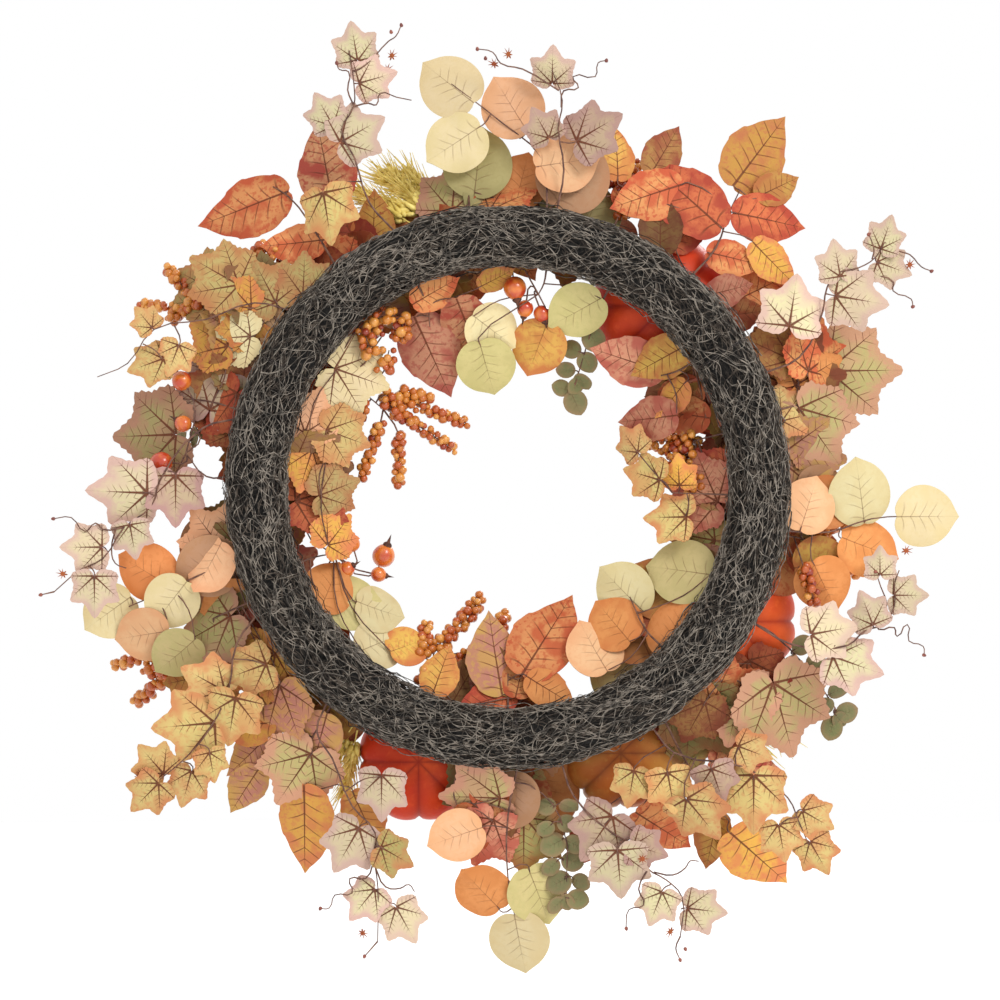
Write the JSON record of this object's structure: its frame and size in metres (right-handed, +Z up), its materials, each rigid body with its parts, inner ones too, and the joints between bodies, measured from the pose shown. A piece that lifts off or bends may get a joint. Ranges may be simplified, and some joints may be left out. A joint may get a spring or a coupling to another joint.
{
  "type": "harvest door wreath",
  "caption": "Round autumn door wreath: a vine bundle on a wire hoop, dressed with artificial leaf sprays, trailing ivy, berries, wheat and small pumpkins.",
  "frame": {"origin": "the hook seat: the underside of the top of the vine bundle, inside the ring, at the bundle's middle depth", "axes": "+Z up as it hangs, +Y towards the door or wall it hangs on, -Y towards the viewer, X across"},
  "size_m": [0.6511, 0.1375, 0.6834],
  "materials": {
    "vine_bundle": "fine dry vine twigs, dark grey-brown, matt, wound into a round bundle",
    "hoop_steel": "plain drawn steel wire",
    "tie_wire": "thin dark annealed binding wire",
    "ivy_cream": "printed polyester leaf, cream with a pink-grey shade and brown veins",
    "ivy_yellow": "printed polyester leaf, yellow with red-brown veins",
    "round_leaf": "printed polyester leaf, cream-yellow shading to peach",
    "cherry_leaf": "printed polyester leaf, mottled orange, red and yellow with brown veins",
    "grape_leaf": "printed polyester leaf, green-cream centre, pink edge and brown veins",
    "berry_orange": "small moulded berries, orange with a red flush",
    "rose_hip": "moulded rose hips, orange to red, with dark calyx tips",
    "wheat_ear": "moulded wheat ears, yellow-green",
    "eucalyptus_sage": "moulded leaves, dull sage green with a brown edge",
    "pumpkin_red": "painted foam pumpkin, deep red-orange, satin",
    "pumpkin_orange": "painted foam pumpkin, orange-red, satin",
    "gourd_brown": "painted foam gourd, brown-orange with deep ribs, satin",
    "pumpkin_stem": "moulded stem, brown-green, matt"
  },
  "bodies": {
    "wreath": {"berry_spray_inner_bottom": "berry_orange", "berry_spray_inner_left": "berry_orange", "berry_spray_inner_right": "berry_orange", "berry_spray_left_low": "berry_orange", "berry_spray_left_top": "berry_orange", "berry_spray_right": "berry_orange", "berry_spray_top": "berry_orange", "binding_wire_1": "tie_wire", "binding_wire_2": "tie_wire", "binding_wire_3": "tie_wire", "cherry_leaf_spray_bottom_left": "cherry_leaf", "cherry_leaf_spray_bottom_right": "cherry_leaf", "cherry_leaf_spray_inner_bottom": "cherry_leaf", "cherry_leaf_spray_inner_left": "cherry_leaf", "cherry_leaf_spray_inner_right": "cherry_leaf", "cherry_leaf_spray_top_left": "cherry_leaf", "cherry_leaf_spray_top_right": "cherry_leaf", "eucalyptus_spray_inner": "eucalyptus_sage", "eucalyptus_spray_left": "eucalyptus_sage", "eucalyptus_spray_right": "eucalyptus_sage", "grape_leaf_spray_bottom": "grape_leaf", "grape_leaf_spray_inner_left": "grape_leaf", "grape_leaf_spray_inner_right": "grape_leaf", "grape_leaf_spray_left": "grape_leaf", "grape_leaf_spray_left_low": "grape_leaf", "grape_leaf_spray_lower_right": "grape_leaf", "grape_leaf_spray_right": "grape_leaf", "grape_leaf_spray_top": "grape_leaf", "grape_leaf_spray_top_left": "grape_leaf", "orange_pumpkin_right": "pumpkin_orange", "orange_pumpkin_right_stem": "pumpkin_stem", "red_pumpkin_left": "pumpkin_red", "red_pumpkin_left_stem": "pumpkin_stem", "red_pumpkin_right": "pumpkin_red", "red_pumpkin_right_stem": "pumpkin_stem", "ribbed_gourd": "gourd_brown", "ribbed_gourd_stem": "pumpkin_stem", "ring_hoop": "hoop_steel", "rose_hip_spray_inner_left": "rose_hip", "rose_hip_spray_inner_top": "rose_hip", "rose_hip_spray_left": "rose_hip", "round_leaf_spray_bottom": "round_leaf", "round_leaf_spray_inner_right": "round_leaf", "round_leaf_spray_left": "round_leaf", "round_leaf_spray_right": "round_leaf", "round_leaf_spray_top": "round_leaf", "vine_ring": "vine_bundle", "wheat_spray_lower_left": "wheat_ear", "wheat_spray_lower_right": "wheat_ear", "wheat_spray_top": "wheat_ear"},
    "ivy_bottom": {"ivy_vine_bottom": "ivy_cream"},
    "ivy_left": {"ivy_vine_left": "ivy_cream"},
    "ivy_left_low": {"ivy_vine_left_low": "ivy_yellow"},
    "ivy_lower_left": {"ivy_vine_lower_left": "ivy_cream"},
    "ivy_lower_right": {"ivy_vine_lower_right": "ivy_yellow"},
    "ivy_right": {"ivy_vine_right": "ivy_cream"},
    "ivy_top": {"ivy_vine_top": "ivy_cream"},
    "ivy_top_left": {"ivy_vine_top_left": "ivy_cream"},
    "ivy_upper_left": {"ivy_vine_upper_left": "ivy_yellow"},
    "ivy_upper_right": {"ivy_vine_upper_right": "ivy_cream"}
  },
  "joints": [
    {"name": "ivy_bottom_bend", "type": "hinge", "parent": "wreath", "child": "ivy_bottom", "pos_m": [-0.03888, -0.00159, -0.3595], "axis": [0, 1, 0], "range_deg": [-10, 10]},
    {"name": "ivy_left_bend", "type": "hinge", "parent": "wreath", "child": "ivy_left", "pos_m": [0.19775, 0, -0.1102], "axis": [0, 1, 0], "range_deg": [-10, 10]},
    {"name": "ivy_left_low_bend", "type": "hinge", "parent": "wreath", "child": "ivy_left_low", "pos_m": [0.18159, 0, -0.25202], "axis": [0, 1, 0], "range_deg": [-10, 10]},
    {"name": "ivy_lower_left_bend", "type": "hinge", "parent": "wreath", "child": "ivy_lower_left", "pos_m": [0.131, 0, -0.31562], "axis": [0, 1, 0], "range_deg": [-10, 10]},
    {"name": "ivy_lower_right_bend", "type": "hinge", "parent": "wreath", "child": "ivy_lower_right", "pos_m": [-0.10496, 0, -0.33419], "axis": [0, 1, 0], "range_deg": [-10, 10]},
    {"name": "ivy_right_bend", "type": "hinge", "parent": "wreath", "child": "ivy_right", "pos_m": [-0.17825, 0, -0.2583], "axis": [0, 1, 0], "range_deg": [-10, 10]},
    {"name": "ivy_top_bend", "type": "hinge", "parent": "wreath", "child": "ivy_top", "pos_m": [-0.03539, 0, 0.0412], "axis": [0, 1, 0], "range_deg": [-10, 10]},
    {"name": "ivy_top_left_bend", "type": "hinge", "parent": "wreath", "child": "ivy_top_left", "pos_m": [0.08289, 0, 0.02668], "axis": [0, 1, 0], "range_deg": [-10, 10]},
    {"name": "ivy_upper_left_bend", "type": "hinge", "parent": "wreath", "child": "ivy_upper_left", "pos_m": [0.15838, 0, -0.03124], "axis": [0, 1, 0], "range_deg": [-10, 10]},
    {"name": "ivy_upper_right_bend", "type": "hinge", "parent": "wreath", "child": "ivy_upper_right", "pos_m": [-0.18618, 0, -0.07661], "axis": [0, 1, 0], "range_deg": [-10, 10]}
  ]
}
